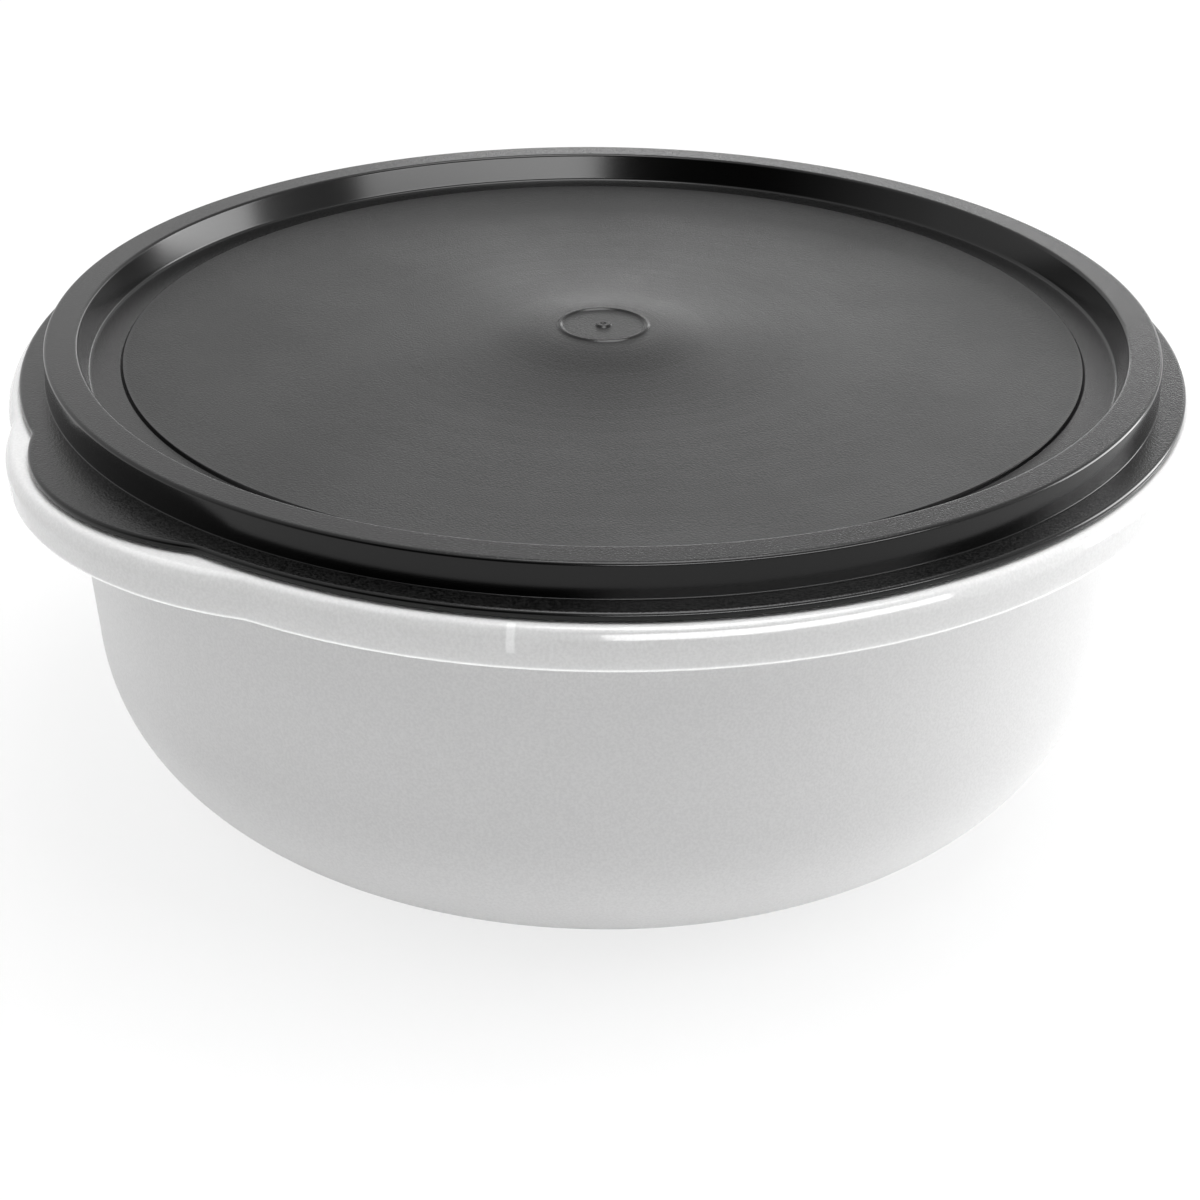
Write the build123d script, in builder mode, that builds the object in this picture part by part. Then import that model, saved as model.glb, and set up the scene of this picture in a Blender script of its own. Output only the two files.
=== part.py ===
"""Round dough proofing bowl with a press-on lid, in millimetres.

The bowl is one thin-walled moulding: a flat base, a wide curve, a wall that leans out, and a
down-turned collar round it, below the rim, with a grip lobe to -Y. The lid is a second moulding:
its raised ring is a channel that drops over the rim, its flange covers the top of the collar, and
its pull tab lies over the lobe. Z is up, the table is at zero, and the origin is the middle of
the bowl's underside.
"""
from build123d import *
import os
from math import atan, cos, degrees, hypot, radians, sqrt, tan

# Bowl: its wall is measured on the outside, and heights run from the table
rim_height = 117.7          # top of the rim
rim_radius = 139.6          # wall's outer face, carried up to the rim's top
wall_lean = 4.0             # degrees from upright
bowl_wall = 1.8
base_thickness = 2.2
base_curve = 44.7           # curve between wall and base
lip_width = 0.4             # how far the rim's lip stands out from the wall
lip_height = 2.6
rim_round_share = 0.44      # of the rim's thickness

# Collar of the bowl, with a lobe to -Y under the lid's tab
rim_stand = 9.0             # rim's top above the collar's top
collar_reach = 12.3         # how far its shoulder stands out from the rim's wall
collar_depth = 10.0
collar_wall = 1.8
collar_taper = 0.7          # how far it draws in by its lower edge
shoulder_round = 4.6
collar_edge_share = 0.3     # rounding of the lower edge, of the collar's wall
lobe_reach = 7.9            # how far the lobe passes the round collar
lobe_curve = 91.0           # radius of the lobe's outer edge
lobe_blend = 3.0            # hollow corner where it leaves the round collar
web_blend = 1.0             # inner corners where collar and rim meet the wall

# Lid: the sizes it shares with the bowl come from the bowl
fit_gap = 0.3               # running clearance between lid and bowl
ring_wall = 1.5
lid_sheet = 1.8             # thickness of ledge and panel
flange_width = 6.7          # how far it stands out from the ring
flange_thickness = 2.2
flange_round_share = 0.42   # of the flange's thickness
ring_width = 8.2            # crown of the raised ring
ring_taper = 0.3            # how far the ring's outer wall spreads to its foot
ring_slope = 2.3            # how far the ring's inner wall slopes in
ring_round = 0.9
foot_blend = 0.4
ledge_rise = 0.8            # ledge above the flange
ledge_width = 7.9
riser_height = 1.0          # panel's edge above the ledge
riser_run = 1.2
riser_round = 0.8
panel_rise = 3.2            # panel's middle above its edge
panel_dip = 0.7             # its lowest round below its edge
dip_radius = 80.0
mound_radius = 30.0         # half-way down the mound round the gate
mound_share = 0.54          # of the fall from the middle to the lowest round

# Pull tab of the lid
tab_reach = 7.9             # how far the tab passes the flange
tab_curve = 63.0            # radius of its outer edge
tab_blend = 3.0             # hollow corner where it leaves the flange

# Moulding gate in the middle of the lid
gate_ring_radius = 11.3
gate_ring_bead = 0.5        # radius of the fine ridge
gate_radius = 1.9
gate_height = 0.5
gate_dimple = 0.9

os.makedirs("parts", exist_ok=True)


def wall_radius(height):
    """Outer radius of the bowl's wall at a height above the table."""
    return rim_radius - (rim_height - height) * tan(radians(wall_lean))


def lobed_face(radius, reach, curve, blend):
    """Round face with a lobe to -Y, whose hollow corners are blended."""
    centre = Vector(0, curve - radius - reach)
    level = ((curve + blend)**2 - (radius + blend)**2 - centre.Y**2) / (-2 * centre.Y)
    corner = Vector(sqrt((radius + blend)**2 - level**2), level)
    on_round = corner * (radius / (radius + blend))
    on_lobe = centre + (corner - centre) * (curve / (curve + blend))
    inward = ((on_round + on_lobe) / 2 - corner).normalized()
    hollow = corner + inward * blend
    with BuildSketch(mode=Mode.PRIVATE) as face:
        with BuildLine():
            ThreePointArc(on_round, (0, radius), (-on_round.X, on_round.Y))
            ThreePointArc((-on_round.X, on_round.Y), (-hollow.X, hollow.Y), (-on_lobe.X, on_lobe.Y))
            ThreePointArc((-on_lobe.X, on_lobe.Y), (0, centre.Y - curve), on_lobe)
            ThreePointArc(on_lobe, hollow, on_round)
        make_face()
    return face.sketch


def round_corners(section, corners):
    """Fillet the section at each corner, given as its point and radius."""
    for point, radius in corners:
        fillet(section.vertices().sort_by_distance(point)[0], radius)


# Bowl
collar_radius = rim_radius + collar_reach
collar_top = rim_height - rim_stand
collar_low = collar_top - collar_depth
web_low = collar_top - collar_wall
rim_outer = rim_radius + lip_width
wall_across = bowl_wall / cos(radians(wall_lean))
rim_inner = rim_radius - wall_across
lip_foot = rim_height - lip_height

collar_draft = degrees(atan(collar_taper / collar_depth))
collar_edge = collar_edge_share * collar_wall

base_corner = (wall_radius(0), 0)
inner_corner = (wall_radius(base_thickness) - wall_across, base_thickness)
web_corner = (wall_radius(web_low), web_low)
web_end = rim_radius + 2 * web_blend
rim_foot = (wall_radius(collar_top), collar_top)
lip_start = (wall_radius(lip_foot), lip_foot)
lip_side = (rim_outer, lip_foot + lip_width)
rim_outside = (rim_outer, rim_height)
rim_inside = (rim_inner, rim_height)
rim_round = rim_round_share * (rim_outer - rim_inner)

with BuildPart() as bowl:
    # Collar: its outer form, then the hollow under it, then the bowl's mouth
    with BuildSketch(Plane.XY.offset(collar_top)):
        add(lobed_face(collar_radius, lobe_reach, lobe_curve, lobe_blend))
    extrude(amount=-collar_depth, taper=collar_draft)
    fillet(faces().filter_by(Axis.Z).sort_by(Axis.Z)[-1].outer_wire().edges(), shoulder_round)
    with BuildSketch(Plane.XY.offset(web_low)):
        add(lobed_face(collar_radius - collar_wall, lobe_reach, lobe_curve - collar_wall,
                       lobe_blend + collar_wall))
    extrude(amount=collar_wall - collar_depth, taper=collar_draft, mode=Mode.SUBTRACT)
    fillet(faces().filter_by(Axis.Z).sort_by(Axis.Z)[-2].outer_wire().edges(), shoulder_round - collar_wall)
    fillet(faces().filter_by(Axis.Z).sort_by(Axis.Z)[0].edges(), collar_edge)
    with BuildSketch(Plane.XY.offset(collar_top)):
        Circle(wall_radius(web_low) - bowl_wall / 2)
    extrude(amount=-collar_wall, mode=Mode.SUBTRACT)

    # Base, wall and rim, with the blends that join the wall to the collar
    with BuildSketch(Plane.XZ) as bowl_section:
        with BuildLine():
            Polyline((0, 0), base_corner, web_corner, (web_end, web_low), (web_end, collar_top),
                     rim_foot, lip_start, lip_side, rim_outside, rim_inside, inner_corner,
                     (0, base_thickness), close=True)
        make_face()
        round_corners(bowl_section, [
            (base_corner, base_curve),
            (inner_corner, base_curve - bowl_wall),
            (web_corner, web_blend),
            (rim_foot, web_blend),
            (rim_outside, rim_round),
            (rim_inside, rim_round),
        ])
    revolve(axis=Axis.Z)

# Lid, seated on the bowl with the running clearance all round
flange_low = collar_top + fit_gap
flange_top = flange_low + flange_thickness
channel_top = rim_height + fit_gap
ring_top = channel_top + ring_wall
channel_outer = rim_outer + fit_gap
ring_outer = channel_outer + ring_wall
ring_inner = ring_outer - ring_width
flange_radius = ring_outer + flange_width
ledge_top = flange_top + ledge_rise
ledge_low = ledge_top - lid_sheet
ledge_outer = ring_inner - ring_slope
panel_foot = ledge_outer - ledge_width
panel_radius = panel_foot - riser_run
panel_edge = ledge_top + riser_height
panel_top = panel_edge + panel_rise
mound_level = panel_top - mound_share * (panel_rise + panel_dip)
gate_flat = gate_ring_radius + gate_ring_bead

slope_height = ring_top - ledge_top
slope_across = ring_wall * hypot(ring_slope, slope_height) / slope_height


def slope_radius(height):
    """Hidden face of the ring's sloping inner wall at a height above the table."""
    return ring_inner + slope_across - (ring_top - height) * ring_slope / slope_height


def panel_line(drop):
    """Line of the panel from its gate down into the dip and up to its edge, lowered by drop."""
    points = ((gate_flat, panel_top), (mound_radius, mound_level),
              (dip_radius, panel_edge - panel_dip), (panel_radius, panel_edge))
    return Spline([(x, z - drop) for x, z in points],
                  tangents=((1, 0), (panel_radius - dip_radius, 2 * panel_dip)))


flange_round = flange_round_share * flange_thickness
flange_flat = flange_radius - flange_round

with BuildPart() as lid:
    # Flange with its tab
    with BuildSketch(Plane.XY.offset(flange_low)):
        add(lobed_face(flange_radius, tab_reach, tab_curve, tab_blend))
        Circle(channel_outer, mode=Mode.SUBTRACT)
    extrude(amount=flange_thickness)
    rims = [face.outer_wire().edges() for face in faces().filter_by(Axis.Z)]
    fillet(rims[0] + rims[1], flange_round)

    # Ring, ledge and panel
    with BuildSketch(Plane.XZ) as lid_section:
        with BuildLine():
            Line((0, panel_top), (gate_flat, panel_top))
            panel_line(0)
            Polyline((panel_radius, panel_edge), (panel_foot, ledge_top), (ledge_outer, ledge_top),
                     (ring_inner, ring_top), (ring_outer, ring_top),
                     (ring_outer + ring_taper, flange_top), (flange_flat, flange_top),
                     (flange_flat, flange_low), (channel_outer, flange_low),
                     (channel_outer, channel_top), (slope_radius(channel_top), channel_top),
                     (slope_radius(ledge_low), ledge_low), (panel_foot, ledge_low),
                     (panel_radius, panel_edge - lid_sheet))
            panel_line(lid_sheet)
            Polyline((gate_flat, panel_top - lid_sheet), (0, panel_top - lid_sheet), (0, panel_top))
        make_face()
        round_corners(lid_section, [
            ((panel_radius, panel_edge), riser_round),
            ((panel_foot, ledge_top), riser_round),
            ((ledge_outer, ledge_top), ring_round),
            ((ring_inner, ring_top), ring_round),
            ((ring_outer, ring_top), ring_round),
            ((ring_outer + ring_taper, flange_top), foot_blend),
        ])
        # Fine ridge round the moulding gate, and the gate's dimpled stub
        with Locations((gate_ring_radius, panel_top)):
            Circle(gate_ring_bead)
        with Locations((gate_radius / 2, panel_top)):
            Rectangle(gate_radius, 2 * gate_height)
        with Locations((gate_dimple / 2, panel_top + gate_height)):
            Rectangle(gate_dimple, gate_height, mode=Mode.SUBTRACT)
    revolve(axis=Axis.Z)

for name, piece in (("bowl", bowl), ("lid", lid)):
    piece.part.label = name
    export_step(piece.part, f"parts/{name}.step")
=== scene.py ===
"""Dough proofing bowl with its press-on lid, dressed for rendering.

Both mouldings are round, so each is turned from its section by one Geometry Nodes tree, which
also pushes out the pull tab and the grip lobe. Lengths in the sections are in millimetres and
are turned into metres when the section is made. Z is up, and the tab points to -Y.
"""
from math import acos, ceil, cos, degrees, hypot, pi, radians, sin, tan

import bmesh
import bpy
from mathutils import Matrix, Vector


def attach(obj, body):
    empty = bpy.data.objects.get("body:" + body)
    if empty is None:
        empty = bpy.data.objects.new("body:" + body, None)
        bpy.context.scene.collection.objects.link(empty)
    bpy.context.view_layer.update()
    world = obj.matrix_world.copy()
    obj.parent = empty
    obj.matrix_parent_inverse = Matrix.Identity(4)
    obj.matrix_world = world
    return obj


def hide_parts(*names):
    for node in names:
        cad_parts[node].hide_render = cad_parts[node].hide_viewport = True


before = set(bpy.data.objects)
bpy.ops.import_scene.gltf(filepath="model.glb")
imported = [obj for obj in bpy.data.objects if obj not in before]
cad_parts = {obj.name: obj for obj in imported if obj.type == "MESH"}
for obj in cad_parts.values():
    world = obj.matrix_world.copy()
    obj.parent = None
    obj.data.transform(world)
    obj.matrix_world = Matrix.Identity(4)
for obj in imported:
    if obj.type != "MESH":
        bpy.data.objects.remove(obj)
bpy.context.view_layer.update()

MM = 0.001

# Bowl
RIM_HEIGHT = 117.7
RIM_RADIUS = 139.6
WALL_LEAN = 4.0
BOWL_WALL = 1.8
BASE_THICKNESS = 2.2
BASE_CURVE = 44.7
LIP_WIDTH = 0.4
LIP_HEIGHT = 2.6
RIM_ROUND = 0.8

# Collar and its grip lobe
RIM_STAND = 9.0
COLLAR_REACH = 12.01
COLLAR_DEPTH = 10.0
COLLAR_WALL = 1.8
COLLAR_TAPER = 0.5
HOLLOW_ROUND = 2.8          # inside the shoulder
SHOULDER_DROP = 3.1         # slanted band between the shoulder's two roundings
SHOULDER_LEAN = 26.0        # degrees from upright
COLLAR_EDGE = 0.54
LOBE_REACH = 7.9
LOBE_CURVE = 91.0
WEB_BLEND = 1.0

# Lid
FIT_GAP = 0.3
RING_WALL = 1.5
LID_SHEET = 1.8
FLANGE_WIDTH = 6.7
FLANGE_THICKNESS = 2.2
FLANGE_ROUND = 0.92
RING_WIDTH = 8.2
RING_TAPER = 0.3
RING_SLOPE = 2.3
RING_ROUND = 0.9
FOOT_BLEND = 0.2
LEDGE_RISE = 0.8
LEDGE_WIDTH = 7.9
RISER_HEIGHT = 1.0
RISER_RUN = 0.6
RISER_ROUND = 0.3
PANEL_RISE = 3.2            # panel's middle above its edge
PANEL_DIP = 0.7             # its lowest round below its edge
DIP_RADIUS = 80.0
MOUND_RADIUS = 30.0         # half-way down the mound round the gate
MOUND_SHARE = 0.54          # of the fall from the middle to the lowest round
MOUND_LEAN = 0.10           # slope there
TAB_REACH = 7.9
TAB_CURVE = 63.0

# Moulding gate
GATE_RING_RADIUS = 11.3
GATE_RING_BEAD = 0.5
GATE_RING_SPREAD = 1.0      # half the ridge's width at its foot
GATE_RADIUS = 1.9
GATE_HEIGHT = 0.5
GATE_DIMPLE = 0.9

BOWL_TURNS = 600            # steps round each moulding
LID_TURNS = 420
RIB = radians(44.2)         # where the collar's short rib stands, round from the tab


# Section lines

def wall_radius(height):
    """Outer radius of the bowl's wall at a height above the table."""
    return RIM_RADIUS - (RIM_HEIGHT - height) * tan(radians(WALL_LEAN))


def section(corners, hold=0.25):
    """Section line as (across, up, follow) points. A corner is (across, up, rounding, follow)."""
    line = []
    for i, (x, y, rounding, follow) in enumerate(corners):
        here = Vector((x, y))
        if not rounding:
            line.append((here, follow, "corner"))
            continue
        back = (Vector(corners[i - 1][:2]) - here).normalized()
        on = (Vector(corners[i + 1][:2]) - here).normalized()
        opening = acos(max(-1, min(1, back.dot(on))))
        reach = rounding / tan(opening / 2)
        centre = here + (back + on).normalized() * rounding / sin(opening / 2)
        turn = pi - opening
        steps = max(3, ceil(degrees(turn) / 15), ceil(turn * rounding / 2))
        start, end = here + back * reach - centre, here + on * reach - centre
        for k in range(steps + 1):
            a = turn * k / steps
            arm = (start * sin(turn - a) + end * sin(a)) / sin(turn)
            place = "first" if k == 0 else "last" if k == steps else "inside"
            line.append((centre + arm, follow, place))
    held = []
    for (p, f, kind), (q, g, after) in zip(line, line[1:]):
        held.append((p.x, p.y, f))
        run = (q - p).length
        if kind in ("last", "corner") and after in ("first", "corner") and run > 6 * hold:
            for share in (hold / run, 1 - hold / run):
                at = p.lerp(q, share)
                held.append((at.x, at.y, f + (g - f) * share))
    p, f, _ = line[-1]
    held.append((p.x, p.y, f))
    return held


def bowl_section():
    """Outside of the base up to the rim, and down the inside to the middle again."""
    collar_radius = RIM_RADIUS + COLLAR_REACH
    collar_top = RIM_HEIGHT - RIM_STAND
    collar_low = collar_top - COLLAR_DEPTH
    web_low = collar_top - COLLAR_WALL
    across = BOWL_WALL / cos(radians(WALL_LEAN))
    rim_outer = RIM_RADIUS + LIP_WIDTH
    rim_inner = RIM_RADIUS - across
    lip_foot = RIM_HEIGHT - LIP_HEIGHT
    draw = COLLAR_TAPER / COLLAR_DEPTH
    hollow = collar_radius - COLLAR_WALL
    return section([
        (0, 0, 0, 0),
        (wall_radius(0), 0, BASE_CURVE, 0),
        (wall_radius(web_low), web_low, WEB_BLEND, 0),
        (hollow, web_low, HOLLOW_ROUND, 1),
        (hollow - draw * (web_low - collar_low), collar_low, COLLAR_EDGE, 1),
        (collar_radius - COLLAR_TAPER, collar_low, COLLAR_EDGE, 1),
        (collar_radius, collar_top - SHOULDER_DROP, 4, 1),
        (collar_radius - SHOULDER_DROP * tan(radians(SHOULDER_LEAN)), collar_top, 2, 1),
        (wall_radius(collar_top), collar_top, WEB_BLEND, 0),
        (wall_radius(lip_foot), lip_foot, 0, 0),
        (rim_outer, lip_foot + LIP_WIDTH, 0, 0),
        (rim_outer, RIM_HEIGHT, RIM_ROUND, 0),
        (rim_inner, RIM_HEIGHT, RIM_ROUND, 0),
        (wall_radius(BASE_THICKNESS) - across, BASE_THICKNESS, BASE_CURVE - BOWL_WALL, 0),
        (0, BASE_THICKNESS, 0, 0),
    ])


def panel_height(radius, panel_radius):
    """Height of the lid's panel above its own edge, smooth from the gate to the edge."""
    fall = PANEL_RISE + PANEL_DIP
    knots = ((GATE_RING_RADIUS + GATE_RING_BEAD, PANEL_RISE, 0),
             (MOUND_RADIUS, PANEL_RISE - MOUND_SHARE * fall, -MOUND_LEAN),
             (DIP_RADIUS, -PANEL_DIP, 0),
             (panel_radius, 0, 2 * PANEL_DIP / (panel_radius - DIP_RADIUS)))
    for (low, start, lean), (high, end, tilt) in zip(knots, knots[1:]):
        if radius <= high:
            span = high - low
            t = max(0, (radius - low) / span)
            return ((1 + 2 * t) * (1 - t)**2 * start + t * (1 - t)**2 * span * lean
                    + t * t * (3 - 2 * t) * end - t * t * (1 - t) * span * tilt)
    return 0


def lid_section():
    """Gate, panel, ledge, ring and flange on top, then the hidden side back to the middle."""
    flange_low = RIM_HEIGHT - RIM_STAND + FIT_GAP
    flange_top = flange_low + FLANGE_THICKNESS
    channel_top = RIM_HEIGHT + FIT_GAP
    ring_top = channel_top + RING_WALL
    channel_outer = RIM_RADIUS + LIP_WIDTH + FIT_GAP
    ring_outer = channel_outer + RING_WALL
    ring_inner = ring_outer - RING_WIDTH
    flange_radius = ring_outer + FLANGE_WIDTH
    ledge_top = flange_top + LEDGE_RISE
    ledge_low = ledge_top - LID_SHEET
    ledge_outer = ring_inner - RING_SLOPE
    panel_foot = ledge_outer - LEDGE_WIDTH
    panel_radius = panel_foot - RISER_RUN
    panel_edge = ledge_top + RISER_HEIGHT

    rise = ring_top - ledge_top
    slope = RING_WALL * hypot(RING_SLOPE, rise) / rise

    def hidden(height):
        return ring_inner + slope - (ring_top - height) * RING_SLOPE / rise

    def panel(radius):
        return panel_edge + panel_height(radius, panel_radius)

    gate_top = panel(0) + GATE_HEIGHT
    dimple = gate_top - GATE_HEIGHT / 2
    top = [(0, dimple, 0, 0), (GATE_DIMPLE * 0.6, dimple, 0.1, 0),
           (GATE_DIMPLE, gate_top, 0.1, 0), (GATE_RADIUS * 0.9, gate_top, 0.15, 0),
           (GATE_RADIUS * 1.15, panel(GATE_RADIUS * 1.15), 0.15, 0)]
    top += [(r, panel(r), 0, 0) for r in (3.2, 5.0, 7.5, 10.0)]
    for k in range(-6, 7):
        r = GATE_RING_RADIUS + k / 6 * GATE_RING_SPREAD
        top.append((r, panel(r) + GATE_RING_BEAD * cos(pi * k / 12)**2, 0, 0))
    steps = (13, 15, 17.5, 20, 22.5, 25, 28, 31, 34, 38, 42, 47, 53, 60, 70, 82, 94, 106, 115)
    top += [(r, panel(r), 0, 0) for r in steps]
    edge = [
        (panel_radius, panel_edge, RISER_ROUND, 0),
        (panel_foot, ledge_top, RISER_ROUND, 0),
        (ledge_outer, ledge_top, RING_ROUND, 0),
        (ring_inner, ring_top, RING_ROUND, 0),
        (ring_outer, ring_top, RING_ROUND, 0),
        (ring_outer + RING_TAPER, flange_top, FOOT_BLEND, 0),
        (flange_radius, flange_top, FLANGE_ROUND, 1),
        (flange_radius, flange_low, FLANGE_ROUND, 1),
        (channel_outer, flange_low, 0.2, 0),
        (channel_outer, channel_top, 0.3, 0),
        (hidden(channel_top), channel_top, 0.3, 0),
        (hidden(ledge_low), ledge_low, 0.5, 0),
        (panel_foot, ledge_low, 0.3, 0),
        (panel_radius, panel_edge - LID_SHEET, 0.3, 0),
    ]
    under = [(r, panel(r) - LID_SHEET, 0, 0) for r in reversed((0,) + steps[1::2])]
    return section(top + edge + under, hold=0.2)


# Turning a section into a moulding

def turning_tree():
    """Geometry Nodes tree that turns a section round Z and pushes out a lobe to -Y."""
    tree = bpy.data.node_groups.new("turned moulding", "GeometryNodeTree")
    face = tree.interface
    face.new_socket("Section", in_out="INPUT", socket_type="NodeSocketGeometry")
    for name, kind in (("Turns", "Int"), ("Round Radius", "Float"), ("Lobe Reach", "Float"),
                       ("Lobe Curve", "Float"), ("Corner Blend", "Float"),
                       ("Material", "Material")):
        face.new_socket(name, in_out="INPUT", socket_type=f"NodeSocket{kind}")
    face.new_socket("Moulding", in_out="OUTPUT", socket_type="NodeSocketGeometry")
    nodes, links = tree.nodes, tree.links
    entry = nodes.new("NodeGroupInput")
    out = nodes.new("NodeGroupOutput")

    def feed(socket, value):
        if isinstance(value, (int, float)):
            socket.default_value = value
        else:
            links.new(value, socket)

    def math(operation, a, b=0.0, c=0.0):
        node = nodes.new("ShaderNodeMath")
        node.operation = operation
        for socket, value in zip(node.inputs, (a, b, c)):
            feed(socket, value)
        return node.outputs[0]

    size = nodes.new("GeometryNodeAttributeDomainSize")
    links.new(entry.outputs["Section"], size.inputs[0])
    count = size.outputs["Point Count"]
    sheet = nodes.new("GeometryNodeMeshGrid")
    links.new(math("ADD", entry.outputs["Turns"], 1), sheet.inputs["Vertices X"])
    links.new(count, sheet.inputs["Vertices Y"])

    index = nodes.new("GeometryNodeInputIndex").outputs[0]
    column = math("FLOOR", math("DIVIDE", math("ADD", index, 0.5), count))
    row = math("SUBTRACT", index, math("MULTIPLY", column, count))

    def along(value, kind):
        node = nodes.new("GeometryNodeSampleIndex")
        node.data_type = kind
        node.domain = "POINT"
        links.new(entry.outputs["Section"], node.inputs["Geometry"])
        links.new(value, node.inputs["Value"])
        links.new(row, node.inputs["Index"])
        return node.outputs[0]

    split = nodes.new("ShaderNodeSeparateXYZ")
    links.new(along(nodes.new("GeometryNodeInputPosition").outputs[0], "FLOAT_VECTOR"),
              split.inputs[0])
    named = nodes.new("GeometryNodeInputNamedAttribute")
    named.data_type = "FLOAT"
    named.inputs["Name"].default_value = "follow"
    follow = along(named.outputs["Attribute"], "FLOAT")

    angle = math("DIVIDE", math("MULTIPLY", column, 2 * pi), entry.outputs["Turns"])
    sine, cosine = math("SINE", angle), math("COSINE", angle)
    stand = math("SUBTRACT", math("ADD", entry.outputs["Round Radius"],
                                  entry.outputs["Lobe Reach"]), entry.outputs["Lobe Curve"])
    side = math("MULTIPLY", stand, sine)
    root = math("SQRT", math("MAXIMUM", math("SUBTRACT",
                math("MULTIPLY", entry.outputs["Lobe Curve"], entry.outputs["Lobe Curve"]),
                math("MULTIPLY", side, side)), 0.0))
    lobe = math("ADD", math("MULTIPLY", stand, cosine),
                math("MULTIPLY", root, math("GREATER_THAN", cosine, 0.0)))
    reach = math("SUBTRACT", math("SMOOTH_MAX", lobe, entry.outputs["Round Radius"],
                                  entry.outputs["Corner Blend"]), entry.outputs["Round Radius"])
    radius = math("ADD", split.outputs["X"], math("MULTIPLY", follow, reach))

    place = nodes.new("ShaderNodeCombineXYZ")
    links.new(math("MULTIPLY", radius, sine), place.inputs["X"])
    links.new(math("MULTIPLY", radius, math("MULTIPLY", cosine, -1)), place.inputs["Y"])
    links.new(split.outputs["Z"], place.inputs["Z"])
    move = nodes.new("GeometryNodeSetPosition")
    links.new(sheet.outputs["Mesh"], move.inputs["Geometry"])
    links.new(place.outputs[0], move.inputs["Position"])
    close = nodes.new("GeometryNodeMergeByDistance")
    close.inputs["Distance"].default_value = 2e-6
    links.new(move.outputs[0], close.inputs["Geometry"])
    real = nodes.new("GeometryNodeRealizeInstances")
    links.new(close.outputs[0], real.inputs[0])
    finish = nodes.new("GeometryNodeSetMaterial")
    links.new(real.outputs[0], finish.inputs["Geometry"])
    links.new(entry.outputs["Material"], finish.inputs["Material"])
    links.new(finish.outputs[0], out.inputs[0])
    return tree


def turned(name, tree, line, values):
    """Moulding turned from its section line, as one plain closed mesh."""
    mesh = bpy.data.meshes.new(f"{name} section")
    mesh.from_pydata([(x * MM, 0, z * MM) for x, z, _ in line],
                     [(k, k + 1) for k in range(len(line) - 1)], [])
    mesh.attributes.new("follow", "FLOAT", "POINT").data.foreach_set("value", [f for *_, f in line])
    blank = bpy.data.objects.new(f"{name} section", mesh)
    bpy.context.collection.objects.link(blank)
    turning = blank.modifiers.new("turning", "NODES")
    turning.node_group = tree
    for item in tree.interface.items_tree:
        if item.in_out == "INPUT" and item.name in values:
            turning[item.identifier] = values[item.name]
    bpy.context.view_layer.update()
    seen = blank.evaluated_get(bpy.context.evaluated_depsgraph_get())
    made = bpy.data.meshes.new_from_object(seen)
    bpy.data.objects.remove(blank)
    work = bmesh.new()
    work.from_mesh(made)
    bmesh.ops.recalc_face_normals(work, faces=work.faces)
    for face in work.faces:
        face.smooth = True
    work.to_mesh(made)
    work.free()
    made.name = name
    if not made.materials:
        made.materials.append(values["Material"])
    piece = bpy.data.objects.new(name, made)
    bpy.context.collection.objects.link(piece)
    return piece


# Shared effects

def grain_group():
    """Fine moulded grain: a height for bump, and a patchy mask for roughness."""
    group = bpy.data.node_groups.new("moulded grain", "ShaderNodeTree")
    face = group.interface
    for name, value in (("Grain Size", 0.0006), ("Patch Size", 0.03)):
        face.new_socket(name, in_out="INPUT", socket_type="NodeSocketFloat").default_value = value
    face.new_socket("Place", in_out="INPUT", socket_type="NodeSocketVector")
    for name in ("Height", "Patches"):
        face.new_socket(name, in_out="OUTPUT", socket_type="NodeSocketFloat")
    nodes, links = group.nodes, group.links
    entry, out = nodes.new("NodeGroupInput"), nodes.new("NodeGroupOutput")

    def noise(size, detail):
        inverse = nodes.new("ShaderNodeMath")
        inverse.operation = "DIVIDE"
        inverse.inputs[0].default_value = 1.0
        links.new(size, inverse.inputs[1])
        node = nodes.new("ShaderNodeTexNoise")
        node.inputs["Detail"].default_value = detail
        links.new(entry.outputs["Place"], node.inputs["Vector"])
        links.new(inverse.outputs[0], node.inputs["Scale"])
        return node.outputs["Fac"]

    links.new(noise(entry.outputs["Grain Size"], 2.0), out.inputs["Height"])
    links.new(noise(entry.outputs["Patch Size"], 3.0), out.inputs["Patches"])
    return group


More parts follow.
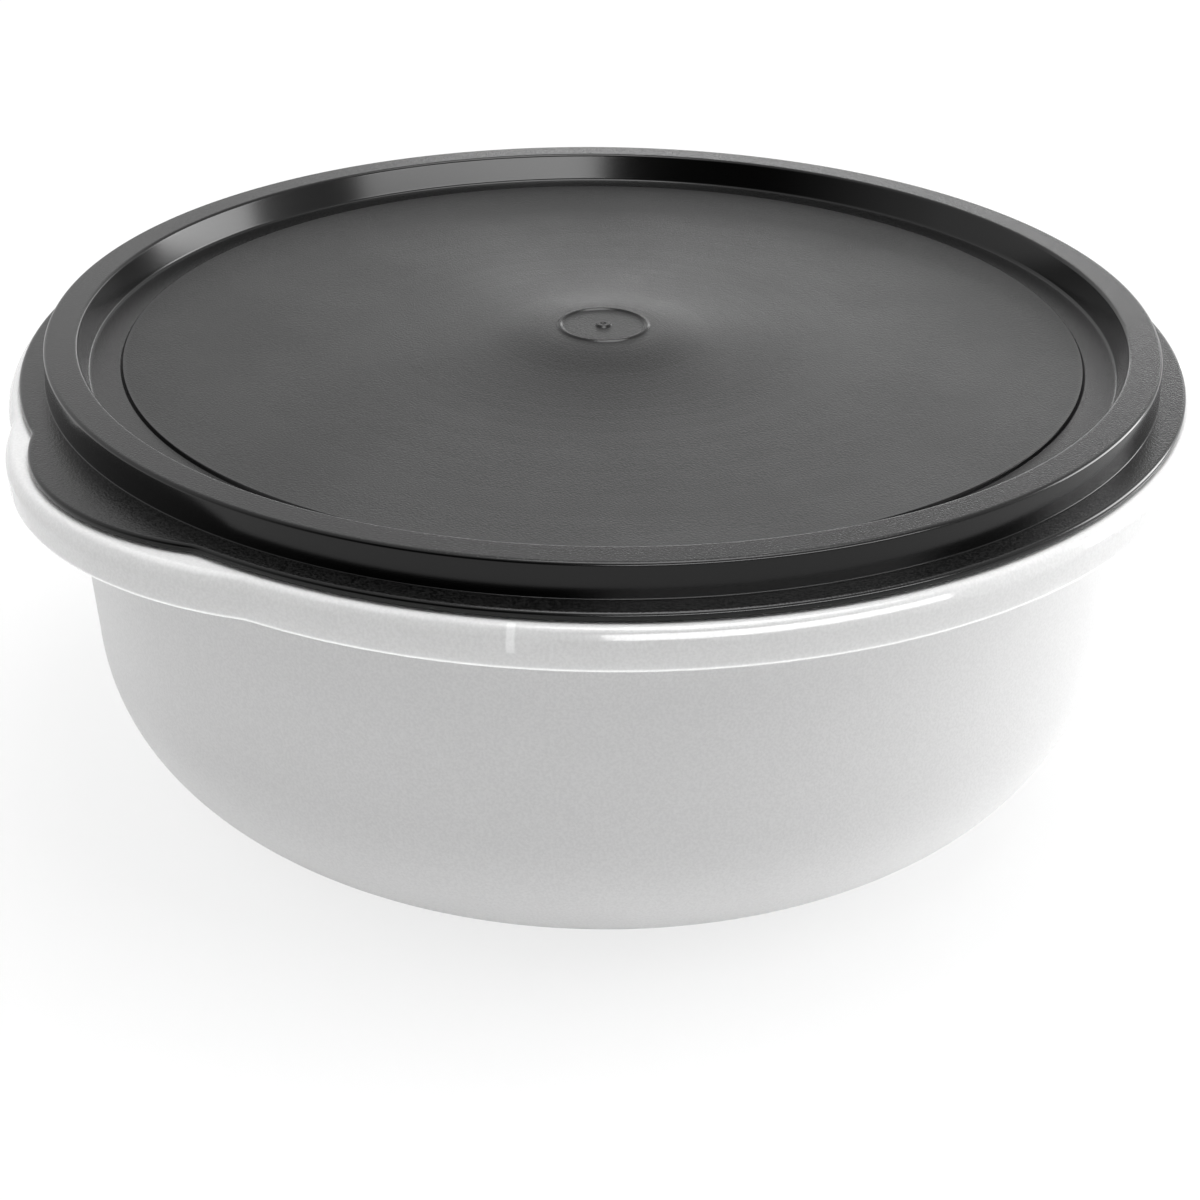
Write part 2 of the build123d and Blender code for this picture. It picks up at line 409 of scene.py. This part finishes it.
class Finish:
    """A material whose nodes are added one line at a time."""

    def __init__(self, name):
        self.material = bpy.data.materials.new(name)
        self.material.use_nodes = True
        self.nodes, self.links = self.material.node_tree.nodes, self.material.node_tree.links
        self.shader = self.nodes["Principled BSDF"]
        self.place = self.nodes.new("ShaderNodeTexCoord").outputs["Object"]

    def set(self, **values):
        for name, value in values.items():
            self.shader.inputs[name.replace("_", " ")].default_value = value

    def add(self, kind, links=(), **values):
        node = self.nodes.new(kind)
        for name, value in values.items():
            setattr(node, name, value)
        for socket, value in links:
            if isinstance(value, (int, float, tuple)):
                node.inputs[socket].default_value = value
            else:
                self.links.new(value, node.inputs[socket])
        return node

    def spread(self, value, low, high, start, end, smooth=True):
        node = self.add("ShaderNodeMapRange", (("Value", value), ("From Min", low),
                        ("From Max", high), ("To Min", start), ("To Max", end)))
        node.interpolation_type = "SMOOTHSTEP" if smooth else "LINEAR"
        return node.outputs["Result"]

    def from_axis(self):
        """Distance from the moulding's axis."""
        level = self.add("ShaderNodeVectorMath", ((0, self.place), (1, (1, 1, 0))),
                         operation="MULTIPLY")
        return self.add("ShaderNodeVectorMath", ((0, level.outputs[0]),),
                        operation="LENGTH").outputs["Value"]

    def grain(self, group, size, patch):
        node = self.nodes.new("ShaderNodeGroup")
        node.node_tree = group
        node.inputs["Grain Size"].default_value = size
        node.inputs["Patch Size"].default_value = patch
        self.links.new(self.place, node.inputs["Place"])
        return node.outputs["Height"], node.outputs["Patches"]

    def bump(self, height, strength, distance):
        node = self.add("ShaderNodeBump", (("Height", height), ("Strength", strength),
                                          ("Distance", distance)))
        self.links.new(node.outputs[0], self.shader.inputs["Normal"])

    def feed(self, socket, value):
        self.links.new(value, self.shader.inputs[socket])

    def grey(self, socket, value):
        """Feeds one value to a colour socket as a neutral grey."""
        shade = self.add("ShaderNodeCombineColor",
                         (("Red", value), ("Green", value), ("Blue", value)))
        self.feed(socket, shade.outputs["Color"])

    def product(self, first, *others):
        for other in others:
            first = self.add("ShaderNodeMath", ((0, first), (1, other)),
                             operation="MULTIPLY").outputs[0]
        return first


def lid_finish(grain):
    """Black polypropylene: grained where it faces up, most on the panel, and smooth walls."""
    it = Finish("black satin polypropylene")
    it.set(IOR=1.38)
    height, patches = it.grain(grain, 0.0005, 0.035)
    normal = it.add("ShaderNodeNewGeometry").outputs["Normal"]
    up = it.add("ShaderNodeSeparateXYZ", ((0, normal),)).outputs["Z"]
    flat = it.spread(up, 0.75, 0.97, 0.0, 1.0)
    ring = it.spread(it.from_axis(), 0.1215, 0.1235, 0.0, 1.0)
    satin = it.spread(patches, 0.3, 0.7, 0.34, 0.39)
    upper = it.add("ShaderNodeMix", (("Factor", ring), ("A", satin), ("B", 0.24)))
    rough = it.add("ShaderNodeMix", (("Factor", flat), ("A", 0.18),
                                     ("B", upper.outputs["Result"])))
    it.feed("Roughness", rough.outputs["Result"])
    relief = it.add("ShaderNodeMath", ((0, height), (1, flat)), operation="MULTIPLY")
    it.bump(relief.outputs[0], 0.8, 0.00012)
    it.grey("Base Color", it.spread(relief.outputs[0], 0.35, 0.65, 0.001, 0.012))
    return it.material


def bowl_finish(grain):
    """Frosted translucent polypropylene, with a clear glossy collar whose lower edge has a painted
    glow.
    """
    it = Finish("frosted translucent polypropylene")
    it.set(IOR=1.49, Transmission_Weight=0.22, Emission_Strength=1.0)
    height, patches = it.grain(grain, 0.00065, 0.05)
    place = it.add("ShaderNodeSeparateXYZ", ((0, it.place),)).outputs
    body = it.spread(place["Z"], 0.0960, 0.0985, 1.0, 0.0)
    frost = it.spread(patches, 0.3, 0.7, 0.36, 0.44)
    rough = it.add("ShaderNodeMix", (("Factor", body), ("A", 0.09), ("B", frost)))
    it.feed("Roughness", rough.outputs["Result"])
    relief = it.add("ShaderNodeMath", ((0, height), (1, body)), operation="MULTIPLY")
    it.bump(relief.outputs[0], 0.5, 0.00008)

    # A short upright rib inside the collar shows through it: it is not built, but drawn as a paler
    # stripe in the colour and a faint painted glow in the emission
    across = it.add("ShaderNodeVectorMath", ((0, it.place), (1, (cos(RIB), sin(RIB), 0))),
                    operation="DOT_PRODUCT").outputs["Value"]
    along = it.add("ShaderNodeVectorMath", ((0, it.place), (1, (sin(RIB), -cos(RIB), 0))),
                   operation="DOT_PRODUCT").outputs["Value"]
    off = it.add("ShaderNodeMath", ((0, across),), operation="ABSOLUTE").outputs[0]
    rib = it.product(it.spread(off, 0.0006, 0.0012, 1.0, 0.0),
                     it.spread(place["Z"], 0.1024, 0.1030, 0.0, 1.0),
                     it.spread(along, 0.149, 0.1495, 0.0, 1.0))
    # Graded by height to match the photograph, where the body is paler towards its base: painted light
    # from the floor, a paler base colour low down and a darker one higher up
    speckle = it.spread(height, 0.3, 0.7, 0.96, 1.04)
    # Painted floor light: the base colour runs from 0.95 near the table to 0.84 higher up
    painted_floor_light = it.spread(place["Z"], 0.016, 0.046, 0.95, 0.84)
    it.grey("Base Color", it.add("ShaderNodeMath", ((0, it.product(speckle, painted_floor_light)),
            (1, it.product(rib, 0.1))), operation="ADD").outputs[0])

    # Painted glow: emission at the collar's lower edge stands in for light that runs inside the wall
    # and comes out there, with a fainter painted glow along the rib
    low = it.spread(place["Z"], 0.0990, 0.0997, 1.0, 0.0)
    rim = it.spread(it.from_axis(), 0.1475, 0.1485, 0.0, 0.30)
    glow = it.add("ShaderNodeMath", ((0, it.product(low, rim)), (1, it.product(rib, 0.07))),
                  operation="ADD").outputs[0]
    it.grey("Emission Color", glow)
    return it.material


# The two mouldings

grain = grain_group()
tree = turning_tree()
bowl_plastic = bowl_finish(grain)
lid_plastic = lid_finish(grain)

bowl = turned("frosted_bowl", tree, bowl_section(), {
    "Turns": BOWL_TURNS, "Round Radius": (RIM_RADIUS + COLLAR_REACH) * MM,
    "Lobe Reach": LOBE_REACH * MM, "Lobe Curve": LOBE_CURVE * MM, "Corner Blend": 0.3 * MM,
    "Material": bowl_plastic})
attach(bowl, "bowl")
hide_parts("bowl")

lid = turned("black_lid", tree, lid_section(), {
    "Turns": LID_TURNS,
    "Round Radius": (RIM_RADIUS + LIP_WIDTH + FIT_GAP + RING_WALL + FLANGE_WIDTH) * MM,
    "Lobe Reach": TAB_REACH * MM, "Lobe Curve": TAB_CURVE * MM, "Corner Blend": 0.5 * MM,
    "Material": lid_plastic})
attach(lid, "lid")
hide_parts("lid")


# Floor, light and camera

STUDIO_LIGHT = 0.88         # what the studio adds as light; all that looks at it sees 1
CARD_RADIUS = 2.6
CARD_HEIGHT = 2.6
CARD_DARK = 0.03            # straight before the bowl
CARD_PALE = 0.8             # at the card's two ends

AZIMUTH = radians(51.2)
toward = Vector((sin(AZIMUTH), -cos(AZIMUTH), 0))
rightward = Vector((cos(AZIMUTH), sin(AZIMUTH), 0))


def beside(ahead, right, up):
    """Point given from the camera's side of the object: nearer, to the right, and up."""
    return toward * ahead + rightward * right + Vector((0, 0, up))


def pale_floor():
    """Wide pale floor that still takes the bowl's soft shadow."""
    mesh = bpy.data.meshes.new("floor")
    mesh.from_pydata([(-6, -6, 0), (6, -6, 0), (6, 6, 0), (-6, 6, 0)], [], [(0, 1, 2, 3)])
    floor = bpy.data.objects.new("floor", mesh)
    bpy.context.collection.objects.link(floor)
    floor.location.z = -0.0002
    it = Finish("pale floor")
    it.set(Base_Color=(0.93, 0.93, 0.93, 1), Roughness=0.9, Specular_IOR_Level=0.0)
    seen = it.add("ShaderNodeLightPath").outputs
    glow = it.add("ShaderNodeEmission", (("Strength", 1.0),))
    ahead = it.add("ShaderNodeMath", ((0, seen["Is Camera Ray"]), (1, seen["Is Glossy Ray"])),
                   operation="MAXIMUM")
    through = it.add("ShaderNodeMath", ((0, ahead.outputs[0]), (1, seen["Is Transmission Ray"])),
                     operation="MAXIMUM")
    share = it.add("ShaderNodeMath", ((0, through.outputs[0]), (1, 0.8)), operation="MULTIPLY")
    blend = it.add("ShaderNodeMixShader", ((0, share.outputs[0]),
                   (1, it.shader.outputs[0]), (2, glow.outputs[0])))
    it.links.new(blend.outputs[0], it.nodes["Material Output"].inputs["Surface"])
    mesh.materials.append(it.material)


def surroundings():
    """Plain white studio, which the camera, gloss and light through the bowl all see as white."""
    world = bpy.data.worlds.new("studio")
    bpy.context.scene.world = world
    world.use_nodes = True
    nodes, links = world.node_tree.nodes, world.node_tree.links
    glow = nodes["Background"]
    glow.inputs["Color"].default_value = (1, 1, 1, 1)
    path = nodes.new("ShaderNodeLightPath").outputs

    def largest(a, b):
        node = nodes.new("ShaderNodeMath")
        node.operation = "MAXIMUM"
        links.new(a, node.inputs[0])
        links.new(b, node.inputs[1])
        return node.outputs[0]

    level = nodes.new("ShaderNodeMapRange")
    links.new(largest(largest(path["Is Camera Ray"], path["Is Glossy Ray"]),
                      path["Is Transmission Ray"]), level.inputs["Value"])
    level.inputs["To Min"].default_value = STUDIO_LIGHT
    level.inputs["To Max"].default_value = 1.0
    links.new(level.outputs["Result"], glow.inputs["Strength"])


def dark_card():
    """Curved dark card round the camera's side, seen in the gloss but not by the camera."""
    line = [radians(-84 + 7 * k) for k in range(25)]
    points = [beside(CARD_RADIUS * cos(a), CARD_RADIUS * sin(a), z)
              for z in (0.0, CARD_HEIGHT) for a in line]
    count = len(line)
    mesh = bpy.data.meshes.new("dark card")
    mesh.from_pydata(points, [], [(k, k + 1, k + count + 1, k + count)
                                  for k in range(count - 1)])
    card = bpy.data.objects.new("dark card", mesh)
    bpy.context.collection.objects.link(card)
    card.visible_camera = False
    card.visible_transmission = False
    it = Finish("dark card")
    side = it.add("ShaderNodeVectorMath", ((0, it.place), (1, tuple(toward / CARD_RADIUS))),
                  operation="DOT_PRODUCT").outputs["Value"]
    strength = it.spread(side, 0.1, 0.8, CARD_PALE, CARD_DARK)
    shade = it.add("ShaderNodeEmission", (("Strength", strength),))
    it.links.new(shade.outputs[0], it.nodes["Material Output"].inputs["Surface"])
    mesh.materials.append(it.material)


def soft_lamp(name, place, target, width, height, power, gloss_only=False):
    """Rectangular soft lamp that looks at a point. One for gloss only adds no other light."""
    lamp = bpy.data.lights.new(name, "AREA")
    lamp.shape = "RECTANGLE"
    lamp.size, lamp.size_y = width, height
    lamp.energy = power
    holder = bpy.data.objects.new(name, lamp)
    holder.visible_camera = False
    holder.visible_diffuse = not gloss_only
    bpy.context.collection.objects.link(holder)
    away = Vector(target) - Vector(place)
    holder.matrix_world = Matrix.Translation(place) @ away.to_track_quat("-Z", "Y").to_matrix().to_4x4()


def camera():
    data = bpy.data.cameras.new("camera")
    data.lens = 72.8
    data.sensor_width = 36
    eye = bpy.data.objects.new("camera", data)
    bpy.context.collection.objects.link(eye)
    eye.matrix_world = (Matrix.Translation(beside(0.5885, 0, 0.3482))
                        @ Matrix.Rotation(AZIMUTH, 4, "Z")
                        @ Matrix.Rotation(radians(90 - 27.98), 4, "X")
                        @ Matrix.Rotation(0.012, 4, "Z"))
    bpy.context.scene.camera = eye


pale_floor()
surroundings()
dark_card()
soft_lamp("top lamp", beside(0.1, 0.2, 1.5), (0, 0, 0.1), 1.0, 0.8, 15)
soft_lamp("front lamp", beside(1.2, 0.75, 0.67), (0, 0, 0.1), 1.7, 0.4, 22, True)
soft_lamp("side lamp", beside(-0.5, 1.5, 0.35), (0, 0, 0.05), 0.9, 0.7, 18)
soft_lamp("back lamp", beside(-1.5, 0.4, 0.33), (0, 0, 0.1), 1.2, 0.22, 1.8, True)
camera()

bpy.context.scene.view_settings.view_transform = "Standard"
